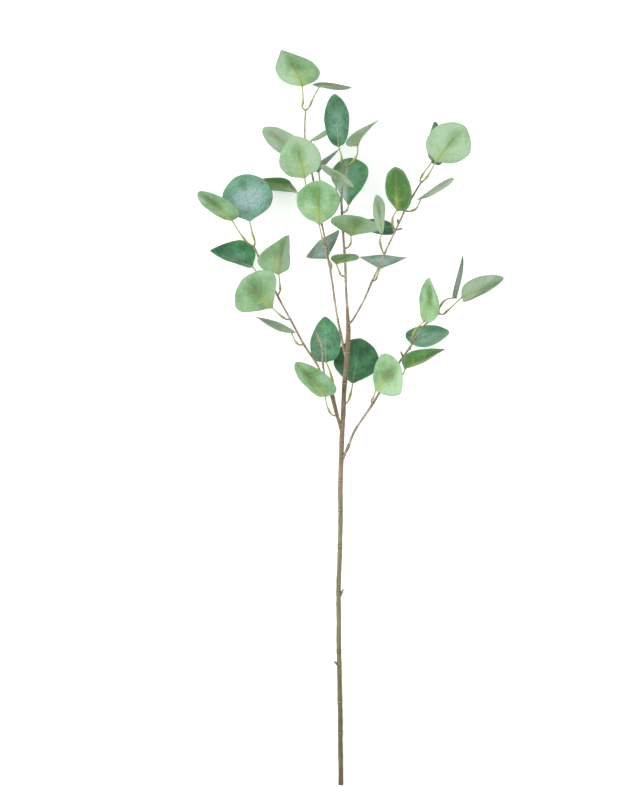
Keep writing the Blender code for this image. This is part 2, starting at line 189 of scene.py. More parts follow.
# A leaf sits on the stem's point nearest to its joint. Base and tip are the ends of its blade, via is
# the middle of its stalk, and roll is 0 degrees where the veined underside faces up. Egg widens the
# blade towards its base, point and peak sharpen its tip, lobe draws its sides back past its base, and
# skew draws one side back more than the other. Fold and arch bend it across and along.
Leaf = namedtuple(
    "Leaf",
    "name stem joint via base tip width roll egg point fold arch lobe skew peak",
    defaults=(0.1, 0.1, 0, 0, 0.06, 0, 0.03),
)

LEAVES = [
    Leaf("leaf_left_1", "left", (-15, 3), (-27.5, 12), (-31, 26, 52), (-64.5, 64, 74),
         38, -42, lobe=0.12, fold=0.35, skew=0.04),
    Leaf("leaf_left_2", "left", (-23, 28), (-24.5, 53), (-29.5, 66, 34), (-30.5, 117.5, 28),
         44, 145),
    Leaf("leaf_left_3", "left", (-55, 85), (-65, 89), (-69.5, 98, 45), (-110.5, 117.5, 34),
         38, 76, egg=0.15, point=0.35, fold=-0.05, lobe=0.05, skew=0.05),
    Leaf("leaf_left_4", "left", (-70.5, 114), (-83, 119.5), (-92.5, 128.5, 52), (-126, 161, 58),
         60, 0, egg=0, lobe=-0.1),
    Leaf("leaf_left_5", "left", (-85.5, 142), (-82.5, 153.5), (-84, 168, 46), (-72.5, 212, 50),
         42, 36, egg=0.5, point=0.2, fold=0.5, arch=-0.12, lobe=0.05, skew=-0.04, peak=0.05),
    Leaf("leaf_left_6", "left", (-99.5, 169), (-109, 169), (-116, 176, 30), (-164, 194, 26),
         50, -127, point=0.3, fold=0.6, arch=0.02, peak=0.05),
    Leaf("leaf_left_7", "left", (-113, 199), (-127.5, 212), (-139, 229.5, 36), (-176, 261, 58),
         44, -58, egg=0.1, fold=0.16, lobe=0.05, skew=0.03, peak=0),
    Leaf("leaf_left_8", "left", (-113, 199), (-115, 215), (-118, 230, 33), (-122.5, 283, 35),
         59, 180, egg=0.06, lobe=-0.03, peak=0),
    Leaf("leaf_main_1", "main", (-8.1, 16), (0, 31), (2, 42, 30), (11, 93, 24),
         53, 180, egg=0.04, lobe=-0.03, skew=0.03),
    Leaf("leaf_main_2", "main", (-8.8, 163), (-14, 169), (-17, 177.5, 54), (-1.5, 189, 92),
         34, 54, egg=0, lobe=-0.15),
    Leaf("leaf_main_3", "main", (-8, 195.5), (-0.5, 203.5), (-0.5, 211, 50), (9.5, 232, 88),
         60, 15, egg=0, lobe=-0.14, skew=-0.06),
    Leaf("leaf_main_4", "main", (-9.5, 237), (-4.5, 241.5), (-3, 247.5, 44), (-1, 302, 36),
         46, 160, egg=-0.2, point=0, lobe=-0.12),
    Leaf("leaf_main_5", "main", (-11.8, 250.5), (-17.5, 262), (-18.5, 275, 58), (-14, 282, 93),
         46, 0, egg=0, lobe=0),
    Leaf("leaf_main_6", "main", (-8, 290.5), (-11.5, 302), (-15, 313.5, 61), (-19, 373, 68),
         38, 140, egg=-0.08, lobe=0.02, peak=0.02),
    Leaf("leaf_main_7", "main", (-8, 290.5), (6, 302.5), (7.5, 315, 62), (32.5, 343, 80),
         32, 72, egg=0.5, point=0.35, fold=0.25, arch=-0.1, lobe=0.2),
    Leaf("leaf_top_1", "top", (-23.7, 169.5), (-24, 179), (-28.5, 185, 50), (-34.5, 208, 13),
         51, 153, lobe=-0.27, peak=0),
    Leaf("leaf_top_2", "top", (-30, 198.5), (-34, 208.5), (-37.5, 224, 68), (-39, 273.5, 70),
         51, 0, egg=0.03, lobe=-0.05, peak=0),
    Leaf("leaf_top_3", "top", (-43, 267), (-53, 262), (-63, 261, 28), (-104, 279, -4),
         45, 62, egg=-0.28, lobe=-0.1, peak=0),
    Leaf("leaf_top_4", "top", (-39.5, 248.5), (-35.8, 269), (-37.5, 285, 44), (-13, 312.5, 22),
         36, 102, arch=-0.08, lobe=0),
    Leaf("leaf_top_5", "top", (-39.5, 248.5), (-51, 263), (-54.5, 278.5, 58), (-66, 325.5, 62),
         49, -5, lobe=0.02),
    Leaf("leaf_top_6", "top", (-51, 306.5), (-57, 306), (-63, 308.5, 40), (-102.5, 336.5, 34),
         42, 47, lobe=0.03),
    Leaf("leaf_top_7", "top", (-53.3, 317.5), (-49.5, 319), (-45.5, 321, 34), (-5, 346.5, 22),
         38, -78),
    Leaf("leaf_top_8", "top", (-53, 356.5), (-56, 368.5), (-57, 386, 30), (-81, 424.5, 58),
         50, -33, egg=0.36, point=0.25, fold=0.12, arch=-0.08, lobe=0.04, skew=0.05, peak=0.05),
    Leaf("leaf_top_9", "top", (-53, 356.5), (-45, 368.5), (-37, 382.5, 46), (0, 384.5, 25),
         43, -74, point=0.1, fold=-0.05, lobe=0.07, skew=-0.05),
    Leaf("leaf_right_1", "right", (24, 158), (29.5, 163), (33, 173, 50), (38, 189.5, 10),
         57, 163, egg=0, lobe=-0.33, peak=0),
    Leaf("leaf_right_2", "right", (38, 189), (32.5, 204), (34.5, 211.5, 84), (29, 256, 92),
         31, 62, egg=-0.35, lobe=0),
    Leaf("leaf_right_3", "right", (50, 215.5), (49, 218.5), (48, 221, 50), (10, 221, 34),
         38, 118),
    Leaf("leaf_right_4", "right", (50, 216.5), (47.5, 231), (52.5, 240.5, 66), (50.5, 289.5, 74),
         40, -40, egg=-0.02, point=0.1, fold=0.2, lobe=0.03, skew=0.08),
    Leaf("leaf_right_5", "right", (63, 238.5), (75, 242), (80.5, 253, 54), (117, 278.5, 40),
         39, -76, egg=-0.2, fold=0.08, lobe=0.06, skew=-0.08),
    Leaf("leaf_right_6", "right", (80.5, 272.5), (84, 284), (93.5, 297.5, 31), (96.5, 344, 26),
         43, 118, fold=-0.25, lobe=0.08, skew=-0.12),
    Leaf("leaf_right_7", "right", (80.5, 272.5), (90, 282.5), (98, 297, 56), (129, 338, 62),
         51, 0, lobe=-0.01, skew=-0.05, peak=0),
    Leaf("leaf_low_1", "low", (24, 16.5), (25.5, 24.5), (28.5, 32.5, 58), (55, 61.5, 90),
         57, -35, egg=-0.05, lobe=-0.06, skew=-0.06, peak=0),
    Leaf("leaf_low_2", "low", (43.5, 46), (59.5, 51), (63, 57.5, 52), (108, 80, 68),
         40, 65, egg=0.35, point=0.35, fold=0.34, lobe=0.05),
    Leaf("leaf_low_3", "low", (65.3, 78.5), (68.5, 81), (71.5, 86, 29), (113, 103, 8),
         47, 125, fold=0.2, lobe=0.1),
    Leaf("leaf_low_4", "low", (70, 86), (74, 102), (84, 112, 58), (89.5, 161.5, 74),
         43, -58, egg=-0.1, arch=-0.08, lobe=0.05, peak=0.08),
    Leaf("leaf_low_5", "low", (101.5, 121), (108, 136), (120, 140.5, 40), (129.5, 187.5, 42),
         38, 98, point=0.2, lobe=0.14),
    Leaf("leaf_low_6", "low", (101.5, 121), (114, 126.5), (129.5, 140.5, 22), (178.5, 162, -3),
         43, 60, egg=0.22, fold=0.2, lobe=0.05, skew=-0.05),
]

# How deep a leaf's green is, partly its own colour and partly painted shade, from 0 to 1 and with painted
# shade darker still above that, how much pale bloom and painted sheen lies on it, how much paler its
# right half is painted than its left half as painted light and shade, and how grey it is, or below 0 how
# vivid
LOOKS = {
    "leaf_left_1": (0.48, 0.05, 0.1, 0.0), "leaf_left_2": (0.8, 0.3, 0.1, 0.0),
    "leaf_left_3": (0.75, 0.2, 0.2, 0.2), "leaf_left_4": (0.3, 0.2, 0.15, 0.0),
    "leaf_left_5": (0.2, 0.25, 0.5, 0.05), "leaf_left_6": (0.85, 0.25, 0.3, 0.0),
    "leaf_left_7": (0.5, 0.1, 0.1, 0.0), "leaf_left_8": (0.4, 0.92, 0.1, 0.0),
    "leaf_main_1": (1.0, 0.1, 0.05, 0.0), "leaf_main_2": (0.75, 0.05, 0.2, -0.1),
    "leaf_main_3": (0.28, 0.3, 0.2, 0.0), "leaf_main_4": (0.5, 0.3, 0.9, 0.0),
    "leaf_main_5": (0.3, 0.4, 0.2, 0.2), "leaf_main_6": (1.0, 0.36, -0.05, 0.0),
    "leaf_main_7": (0.15, 0.5, 0.2, 0.2), "leaf_top_1": (1.0, 0.4, 0.05, 0.45),
    "leaf_top_2": (0.3, 0.0, 0.0, 0.0), "leaf_top_3": (1.15, 0.05, -0.2, 0.0),
    "leaf_top_4": (1.3, 0.1, 0.0, 0.35), "leaf_top_5": (0.12, 0.4, 0.3, 0.0),
    "leaf_top_6": (0.35, 0.7, 0.2, 0.15), "leaf_top_7": (1.0, 0.2, 0.0, 0.4),
    "leaf_top_8": (0.17, 0.15, -0.4, 0.0), "leaf_top_9": (1.3, 0.1, 0.0, 0.15),
    "leaf_right_1": (0.7, 0.6, 0.1, 0.35), "leaf_right_2": (-0.05, 0.3, 0.15, 0.1),
    "leaf_right_3": (0.9, 0.1, 0.0, 0.0), "leaf_right_4": (0.98, 0.0, -0.1, -0.1),
    "leaf_right_5": (0.65, 0.5, 0.3, 0.4), "leaf_right_6": (1.05, 0.1, 0.0, 0.4),
    "leaf_right_7": (0.0, 0.35, -0.15, 0.0), "leaf_low_1": (0.25, 0.2, 0.2, 0.0),
    "leaf_low_2": (0.82, 0.0, 0.1, -0.25), "leaf_low_3": (0.8, 0.5, -0.1, -0.1),
    "leaf_low_4": (0.4, 0.1, 0.1, 0.0), "leaf_low_5": (1.3, 0.25, 0.0, 0.1),
    "leaf_low_6": (0.3, 0.45, -0.2, 0.1),
}


# Camera, straight above the branch

camera_data = bpy.data.cameras.new("camera")
camera_data.lens = 196.0
camera_data.sensor_width = 36.0
camera = bpy.data.objects.new("camera", camera_data)
camera.location = (-0.0386, 0.0283, 5.0)
bpy.context.scene.collection.objects.link(camera)
bpy.context.scene.camera = camera


# Geometry that the solids share

def catmull_rom(before, start, end, after, t):
    """The point at t, from 0 to 1, of a smooth curve from start to end."""
    bend = (
        2 * start
        + (end - before) * t
        + (2 * before - 5 * start + 4 * end - after) * t * t
        + (3 * start - before - 3 * end + after) * t ** 3
    )
    return bend / 2


def smooth_route(points):
    """A Catmull-Rom curve through the points, with a point about every ROUTE_STEP."""
    values = [Vector(point) for point in points]
    ends = [2 * values[0] - values[1]] + values + [2 * values[-1] - values[-2]]
    route = []
    for before, start, end, after in zip(ends, ends[1:], ends[2:], ends[3:]):
        parts = max(1, round((end - start).length / ROUTE_STEP))
        for part in range(parts):
            route.append(catmull_rom(before, start, end, after, part / parts))
    route.append(values[-1])
    return route


def nearest_on_stem(leaf, routes):
    """The stem's point nearest to the leaf's joint, seen from above, and the way the stem runs."""
    joint = Vector(leaf.joint)
    route = routes[leaf.stem]
    best = None
    for start, end in zip(route, route[1:]):
        run = (end - start).xy
        share = min(max((joint - start.xy).dot(run) / run.length_squared, 0.0), 1.0)
        spot = start.lerp(end, share)
        gap = (spot.xy - joint).length
        if best is None or gap < best[0]:
            best = (gap, spot.xyz, (end - start).xyz.normalized(), spot.w / 2)
    return best[1:]


def via_point(leaf, root, base):
    """The stalk's middle point, as high as its place between the stem and the blade asks."""
    spot = Vector(leaf.via)
    before = (spot - root.xy).length
    after = (base.xy - spot).length
    height = root.z + (base.z - root.z) * before / max(before + after, 0.1)
    return Vector((*spot, height))


def nub_for(leaf, routes):
    """Where the leaf's nub starts and ends, and the direction it points."""
    centre, along, radius = nearest_on_stem(leaf, routes)
    aim = via_point(leaf, centre, Vector(leaf.base)) - centre
    side = (aim - along * aim.dot(along)).normalized()
    way = (aim.normalized() + side * NUB_SPLAY).normalized()
    return centre, centre + side * radius + way * NUB_LENGTH, way


def leaf_frame(leaf):
    """The leaf's own axes: X across, Y from base to tip, Z out of the veined underside."""
    base = Vector(leaf.base)
    along = (Vector(leaf.tip) - base).normalized()
    up = Vector((0, 0, 1))
    up = (up - along * up.dot(along)).normalized()
    right = along.cross(up)
    roll = math.radians(leaf.roll)
    under = up * math.cos(roll) + right * math.sin(roll)
    across = along.cross(under)
    return Matrix((
        (across.x, along.x, under.x, base.x),
        (across.y, along.y, under.y, base.y),
        (across.z, along.z, under.z, base.z),
        (0, 0, 0, 1),
    ))


def blade_point(leaf, length, p, q):
    """A point of the blade's middle surface, for a place p, q in a round disc of radius 1."""
    tip_side = max(q, 0.0)
    half = leaf.width / 2 * (1 - leaf.egg * q) * (1 - leaf.point * tip_side * tip_side)
    x = half * p
    share = (1 + q) / 2
    back = (leaf.lobe * abs(p) + leaf.skew * p) * (1 - q) + leaf.peak * abs(p) * (1 + q)
    keel = -leaf.fold * (math.hypot(x, KEEL_ROUNDING) - KEEL_ROUNDING)
    bow = leaf.arch * length * 4 * share * (1 - share)
    return Vector((x, length * (share - back), keel + bow))


# Meshes

def step(low, high, value):
    """A smooth step from 0 at low to 1 at high."""
    share = min(max((value - low) / (high - low), 0.0), 1.0)
    return share * share * (3 - 2 * share)


def vein_height(p, q):
    """How far the veins stand out of the underside, from 0 to 1."""
    side = abs(p)
    rib = 1 - step(0.0, 0.09 * (1.2 - q), side)
    fork = 1 - step(0.0, 0.09, abs(q - FORK_START - FORK_RISE * side))
    fork *= 1 - step(0.3, 0.62, side)
    upper = 1 - step(0.0, 0.07, abs(q - UPPER_START - UPPER_RISE * side))
    upper *= 1 - step(0.15, 0.42, side)
    return max(rib * (1 - step(0.3, 0.95, q)), 0.7 * fork, 0.5 * upper)


def add_tube(body, points, radii, sides, slot=0):
    """A closed tube along the points, with its share of the way kept on each vertex."""
    layer = body.verts.layers.float["along"]
    turn = None
    rings = []
    last = len(points) - 1
    for index, point in enumerate(points):
        ahead = points[min(index + 1, last)] - points[max(index - 1, 0)]
        ahead.normalize()
        if turn is None:
            turn = ahead.orthogonal().normalized()
        turn = (turn - ahead * turn.dot(ahead)).normalized()
        other = ahead.cross(turn)
        ring = []
        for corner in range(sides):
            angle = 2 * math.pi * corner / sides
            offset = turn * math.cos(angle) + other * math.sin(angle)
            vert = body.verts.new((point + offset * radii[index]) * MM)
            vert[layer] = index / last
            ring.append(vert)
        rings.append(ring)
    faces = []
    for low, high in zip(rings, rings[1:]):
        for corner in range(sides):
            after = (corner + 1) % sides
            faces.append(body.faces.new((low[corner], low[after], high[after], high[corner])))
    faces.append(body.faces.new(list(reversed(rings[0]))))
    faces.append(body.faces.new(rings[-1]))
    for face in faces:
        face.material_index = slot
        face.smooth = True
    return rings


def link_piece(name, body, materials):
    """Makes the mesh a piece of the scene, kept within the solids' box."""
    for vert in body.verts:
        for axis in range(3):
            vert.co[axis] = min(max(vert.co[axis], CAD_LOW[axis]), CAD_HIGH[axis])
    mesh = bpy.data.meshes.new(name)
    body.to_mesh(mesh)
    body.free()
    for material in materials:
        mesh.materials.append(material)
    piece = bpy.data.objects.new(name, mesh)
    bpy.context.scene.collection.objects.link(piece)
    return piece


def stalk_route(leaf, here, length, routes):
    """The stalk's centreline and radii: from the nub to the blade, and on as the blade's rib."""
    nub_end, way = nub_for(leaf, routes)[1:]
    start = nub_end + way * (NUB_GAP - STALK_SINK)
    root = nub_end + way * (NUB_GAP + PETIOLE_LEAD)
    base = here @ blade_point(leaf, length, 0, -1)
    after = here @ blade_point(leaf, length, 0, -0.6)
    via = via_point(leaf, root, base)
    before = root - way * (via - root).length
    points = [start]
    radii = [STALK_ROOT_RADIUS]
    for corners in ((before, root, via, base), (root, via, base, after)):
        for ring in range(HALF_STALK_RINGS):
            points.append(catmull_rom(*corners, ring / HALF_STALK_RINGS))
    swelling = SLEEVE_SWELLING * min(1.0, (base - root).length / FULL_SLEEVE_LENGTH)
    for ring in range(2 * HALF_STALK_RINGS):
        share = (ring / (2 * HALF_STALK_RINGS) - SLEEVE_AT) / SLEEVE_SPREAD
        radii.append(PETIOLE_RADIUS + swelling * math.exp(-share * share))
    for ring in range(RIB_RINGS + 1):
        share = ring / RIB_RINGS
        spot = blade_point(leaf, length, 0, 2 * share * RIB_SHARE - 1)
        spot.z += SHOWN_THICKNESS / 2 * (1 - share)
        points.append(here @ spot)
        radii.append(RIB_RADIUS + (RIB_TIP_RADIUS - RIB_RADIUS) * share)
    return points, radii


def cell_corner(row, column):
    """The number of a corner of the blade's cells."""
    return row * (CELLS_ACROSS + 1) + column


def blade_middle(leaf, length, here):
    """Each corner's place in the disc, and its point on the blade's waved middle surface."""
    places = []
    middle = []
    for row in range(CELLS_ALONG + 1):
        for column in range(CELLS_ACROSS + 1):
            a = 2 * column / CELLS_ACROSS - 1
            b = 2 * row / CELLS_ALONG - 1
            p = a * math.sqrt(1 - b * b / 2)
            q = b * math.sqrt(1 - a * a / 2)
            spot = blade_point(leaf, length, p, q)
            reach = p * p + q * q
            angle = math.atan2(q, p)
            spot.z += WAVE_HEIGHT * math.sin(3 * angle + leaf.width) * reach * reach
            dent = 0.5 * math.sin(5 * angle + leaf.width) + 0.25 * math.sin(9 * angle + 2 * leaf.width)
            spot.x += EDGE_DENT * p * (dent - 0.5) * reach * reach
            spot.y += EDGE_DENT * q * (dent - 0.5) * reach * reach
            spot.y -= BASE_POINT * math.exp(-(p / BASE_POINT_WIDTH) ** 2) * step(0.55, 1.0, -q)
            point = here @ spot
            point.z = max(point.z, BLADE_THICKNESS / 2)
            places.append((p, q))
            middle.append(point)
    return places, middle


def add_blade(body, leaf, length, here):
    """The blade: two skins over its middle surface, joined by the edge."""
    uv_layer = body.loops.layers.uv["blade"]
    places, middle = blade_middle(leaf, length, here)
    under = []
    upper = []
    for row in range(CELLS_ALONG + 1):
        for column in range(CELLS_ACROSS + 1):
            index = cell_corner(row, column)
            left = middle[cell_corner(row, max(column - 1, 0))]
            right = middle[cell_corner(row, min(column + 1, CELLS_ACROSS))]
            low = middle[cell_corner(max(row - 1, 0), column)]
            high = middle[cell_corner(min(row + 1, CELLS_ALONG), column)]
            normal = (right - left).cross(high - low)
            if normal.length < 1e-9:
                normal = here.to_3x3() @ Vector((0, 0, 1))
            normal.normalize()
            p, q = places[index]
            edge = step(0.75, 1.0, math.hypot(p, q))
            half = SHOWN_THICKNESS / 2 * (1 - EDGE_THINNING * edge)
            relief = VEIN_RELIEF * vein_height(p, q) * (1 - edge)
            under.append(body.verts.new((middle[index] + normal * (half + relief)) * MM))
            upper.append(body.verts.new((middle[index] - normal * half) * MM))

    where = {}
    for index, place in enumerate(places):
        where[under[index]] = place
        where[upper[index]] = place

    def add_face(verts, slot):
        face = body.faces.new(verts)
        face.material_index = slot
        face.smooth = True
        for loop in face.loops:
            p, q = where[loop.vert]
            loop[uv_layer].uv = ((p + 1) / 2, (q + 1) / 2)

    for row in range(CELLS_ALONG):
        for column in range(CELLS_ACROSS):
            corners = [(row, column), (row, column + 1), (row + 1, column + 1), (row + 1, column)]
            cell = [cell_corner(*corner) for corner in corners]
            add_face([under[index] for index in cell], UNDERSIDE)
            add_face([upper[index] for index in reversed(cell)], UPPER_SIDE)
    border = [(0, column) for column in range(CELLS_ACROSS)]
    border += [(row, CELLS_ACROSS) for row in range(CELLS_ALONG)]
    border += [(CELLS_ALONG, column) for column in range(CELLS_ACROSS, 0, -1)]
    border += [(row, 0) for row in range(CELLS_ALONG, 0, -1)]
    for corner, following in zip(border, border[1:] + border[:1]):
        first = cell_corner(*corner)
        second = cell_corner(*following)
        add_face([under[first], upper[first], upper[second], under[second]], UNDERSIDE)


def make_leaf(leaf, routes, materials):
    """A blade with its stalk and rib in one piece, and its looks kept on each vertex."""
    here = leaf_frame(leaf)
    length = (Vector(leaf.tip) - Vector(leaf.base)).length
    body = bmesh.new()
    body.loops.layers.uv.new("blade")
    layers = [body.verts.layers.float.new(name) for name in ("tone_and_shade", "bloom_and_sheen", "painted_lit_half", "grey")]
    body.verts.layers.float.new("along")
    add_blade(body, leaf, length, here)
    points, radii = stalk_route(leaf, here, length, routes)
    add_tube(body, points, radii, STALK_SIDES, STALK)
    for vert in body.verts:
        for layer, value in zip(layers, LOOKS[leaf.name]):
            vert[layer] = value
    piece = link_piece(leaf.name + "_shown", body, materials)
    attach(piece, "root")
    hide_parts(leaf.name)


def ring_strength(stem, y):
    """How near a point of a stem is to one of its rings, from 0 to 1."""
    nearest = min(abs(y - ring) for ring in RINGS[stem])
    return math.exp(-(nearest / RING_SPREAD) ** 2)


def make_bark(routes, material):
    """The stems with their rings and ripples, the bare buds, and a nub for each leaf."""
    body = bmesh.new()
    body.verts.layers.float.new("along")
    ring_layer = body.verts.layers.float.new("ring")
    twig_layer = body.verts.layers.float.new("twig")
    nub_layer = body.verts.layers.float.new("nub")
    for name, route in routes.items():
        points = []
        radii = []
        for index, spot in enumerate(route):
            ripple = 0.03 * math.sin(0.9 * index) + 0.025 * math.sin(0.37 * index + 1.3)
            radii.append(spot.w / 2 * (1 + ripple) + RING_HEIGHT * ring_strength(name, spot.y))
            sway = STEM_SWAY * Vector((math.sin(0.21 * index), math.cos(0.33 * index), 0))
            points.append(spot.xyz + sway)
        rings = add_tube(body, points, radii, STEM_SIDES)
        for spot, ring in zip(route, rings):
            for vert in ring:
                vert[ring_layer] = ring_strength(name, spot.y)
                vert[twig_layer] = 1.0 if spot.w < TWIG_DIAMETER else 0.0
    for root, tip, root_width, tip_width in BUDS:
        root, tip = Vector(root), Vector(tip)
        points = []
        radii = []
        for index in range(BUD_RINGS + 1):
            share = index / BUD_RINGS
            points.append(root.lerp(tip, share))
            width = root_width + (tip_width - root_width) * share
            swell = 1 + BUD_SWELL * math.sin(math.pi * share)
            radii.append(max(width / 2 * swell * math.sqrt(1.02 - share ** 6), 0.1))
        for ring in add_tube(body, points, radii, NUB_SIDES):
            for vert in ring:
                vert[twig_layer] = 1.0
                vert[ring_layer] = 0.3
    for leaf in LEAVES:
        centre, end = nub_for(leaf, routes)[:2]
        points = [centre.lerp(end, index / NUB_RINGS) for index in range(NUB_RINGS + 1)]
        radii = [NUB_RADIUS * (1.25 - 0.25 * index / NUB_RINGS) for index in range(NUB_RINGS)]
        radii.append(NUB_RADIUS * 1.12)
        for index, ring in enumerate(add_tube(body, points, radii, NUB_SIDES)):
            for vert in ring:
                vert[twig_layer] = 1.0
                vert[nub_layer] = min(index / 3, 1.0)
    piece = link_piece("bark", body, [material])
    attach(piece, "root")
    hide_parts("stem")


# Materials

class Nodes:
    """Short calls for a material's nodes. A value is a number, a colour or another node's output."""

    def __init__(self, name):
        self.material = bpy.data.materials.new(name)
        self.material.use_nodes = True
        self.tree = self.material.node_tree
        self.shader = self.tree.nodes["Principled BSDF"]

    def feed(self, socket, value):
        if isinstance(value, bpy.types.NodeSocket):
            self.tree.links.new(value, socket)
        elif isinstance(value, tuple):
            socket.default_value = (*value, 1.0)
        else:
            socket.default_value = value

    def set(self, name, value):
        self.feed(self.shader.inputs[name], value)

    def math(self, operation, a, b=0.0, c=0.0):
        node = self.tree.nodes.new("ShaderNodeMath")
        node.operation = operation
        for socket, value in zip(node.inputs, (a, b, c)):
            self.feed(socket, value)
        return node.outputs[0]

    def plus(self, first, *others):
        for other in others:
            first = self.math("ADD", first, other)
        return first

    def times(self, first, *others):
        for other in others:
            first = self.math("MULTIPLY", first, other)
        return first

    def scaled(self, value, factor, offset):
        """The value times the factor, plus the offset."""
        return self.math("MULTIPLY_ADD", value, factor, offset)

    def least(self, value, other):
        return self.math("MINIMUM", value, other)

    def most(self, value, other):
        return self.math("MAXIMUM", value, other)

    def fade(self, value, low, high):
        """A smooth step from 0 at low to 1 at high, or the other way round where high is lower."""
        node = self.tree.nodes.new("ShaderNodeMapRange")
        node.interpolation_type = "SMOOTHSTEP"
        self.feed(node.inputs["Value"], value)
        rising = low < high
        node.inputs["From Min"].default_value = min(low, high)
        node.inputs["From Max"].default_value = max(low, high)
        node.inputs["To Min"].default_value = 0.0 if rising else 1.0
        node.inputs["To Max"].default_value = 1.0 if rising else 0.0
        return node.outputs["Result"]

    def line(self, distance, width):
        """1 on a line and 0 beyond its width."""
        return self.fade(self.math("ABSOLUTE", distance), width, width * 0.25)

    def mix(self, share, a, b):
        node = self.tree.nodes.new("ShaderNodeMix")
        node.data_type = "RGBA"
        self.feed(node.inputs["Factor"], share)
        self.feed(node.inputs[6], a)
        self.feed(node.inputs[7], b)
        return node.outputs[2]

    def ramp(self, value, stops):
        node = self.tree.nodes.new("ShaderNodeValToRGB")
        self.feed(node.inputs["Fac"], value)
        elements = node.color_ramp.elements
        while len(elements) < len(stops):
            elements.new(0.5)
        for element, (position, colour) in zip(elements, stops):
            element.position = position
            element.color = (*colour, 1.0)
        return node.outputs["Color"]

    def noise(self, scale, detail, stretch=(1, 1, 1)):
        mapping = self.tree.nodes.new("ShaderNodeMapping")
        mapping.inputs["Scale"].default_value = stretch
        self.tree.links.new(self.position(), mapping.inputs["Vector"])
        node = self.tree.nodes.new("ShaderNodeTexNoise")
        node.inputs["Scale"].default_value = scale
        node.inputs["Detail"].default_value = detail
        self.tree.links.new(mapping.outputs["Vector"], node.inputs["Vector"])
        return node.outputs["Fac"]

    def bump(self, height, strength, distance):
        node = self.tree.nodes.new("ShaderNodeBump")
        node.inputs["Strength"].default_value = strength
        node.inputs["Distance"].default_value = distance
        self.feed(node.inputs["Height"], height)
        self.tree.links.new(node.outputs["Normal"], self.shader.inputs["Normal"])

    def attribute(self, name):
        node = self.tree.nodes.new("ShaderNodeAttribute")
        node.attribute_name = name
        return node.outputs["Fac"]

    def position(self):
        return self.tree.nodes.new("ShaderNodeTexCoord").outputs["Object"]

    def share_of_y(self, low, high):
        """How far a point is on its way from low to high along Y, from 0 to 1."""
        split = self.tree.nodes.new("ShaderNodeSeparateXYZ")
        self.tree.links.new(self.position(), split.inputs[0])
        node = self.tree.nodes.new("ShaderNodeMapRange")
        node.inputs["From Min"].default_value = low
        node.inputs["From Max"].default_value = high
        self.tree.links.new(split.outputs["Y"], node.inputs["Value"])
        return node.outputs["Result"]

    def blade_place(self):
        """The blade's own coordinates, across and along, from 0 to 1."""
        node = self.tree.nodes.new("ShaderNodeUVMap")
        node.uv_map = "blade"
        split = self.tree.nodes.new("ShaderNodeSeparateXYZ")
        self.tree.links.new(node.outputs["UV"], split.inputs[0])
        return split.outputs["X"], split.outputs["Y"]

    def side_and_q(self):
        """How far a point is from the rib, from 0 to 1, and how far along, from -1 to 1."""
        across, along = self.blade_place()
        return self.math("ABSOLUTE", self.scaled(across, 2.0, -1.0)), self.scaled(along, 2.0, -1.0)

    def rim(self):
        """How far out on the blade, from 0 at its middle to 1 on its edge."""
        side, q = self.side_and_q()
        return self.math("SQRT", self.plus(self.times(side, side), self.times(q, q)))

    def half(self):
        """From -1 on the left half to 1 on the right half, times the painted light: how much paler the
        right half is painted, as if lit, and the left half deeper, as if shaded.
        """
        right = self.fade(self.blade_place()[0], 0.38, 0.64)
        return self.times(self.scaled(right, 2.0, -1.0), self.attribute("painted_lit_half"))

    def greyed_and_shaded(self, colour):
        """The colour with less green where the leaf is grey, and darkened by painted shade where its tone
        is above 1.
        """
        node = self.tree.nodes.new("ShaderNodeHueSaturation")
        self.feed(node.inputs["Saturation"], self.scaled(self.attribute("grey"), -0.7, 1.0))
        above = self.most(self.math("SUBTRACT", self.attribute("tone_and_shade"), 1.0), 0.0)
        self.feed(node.inputs["Value"], self.scaled(above, -0.9, 1.0))
        self.feed(node.inputs["Color"], colour)
        return node.outputs["Color"]

    def veins(self):
        """The blade's rib and forks, and its fine side veins, each from 0 to 1."""
        side, q = self.side_and_q()
        rib = self.fade(self.math("DIVIDE", side, self.scaled(q, -0.022, 0.04)), 1.3, 0.4)
        rib = self.times(rib, self.fade(q, 0.95, 0.3))
        fork = self.line(self.plus(self.times(side, -FORK_RISE), self.plus(q, -FORK_START)), 0.075)
        fork = self.times(fork, self.fade(side, 0.62, 0.2))
        upper = self.line(self.plus(self.times(side, -UPPER_RISE), self.plus(q, -UPPER_START)), 0.05)
        upper = self.times(upper, self.fade(side, 0.4, 0.1))
        strong = self.most(rib, self.most(fork, self.times(upper, 0.8)))
        course = self.math("SUBTRACT", q, self.times(side, 0.95))
        course = self.math("SUBTRACT", course, self.times(side, side, 0.5))
        fine = self.fade(self.math("SINE", self.times(course, 21.0)), 0.8, 1.0)
        return strong, self.times(fine, self.fade(side, 0.95, 0.3))


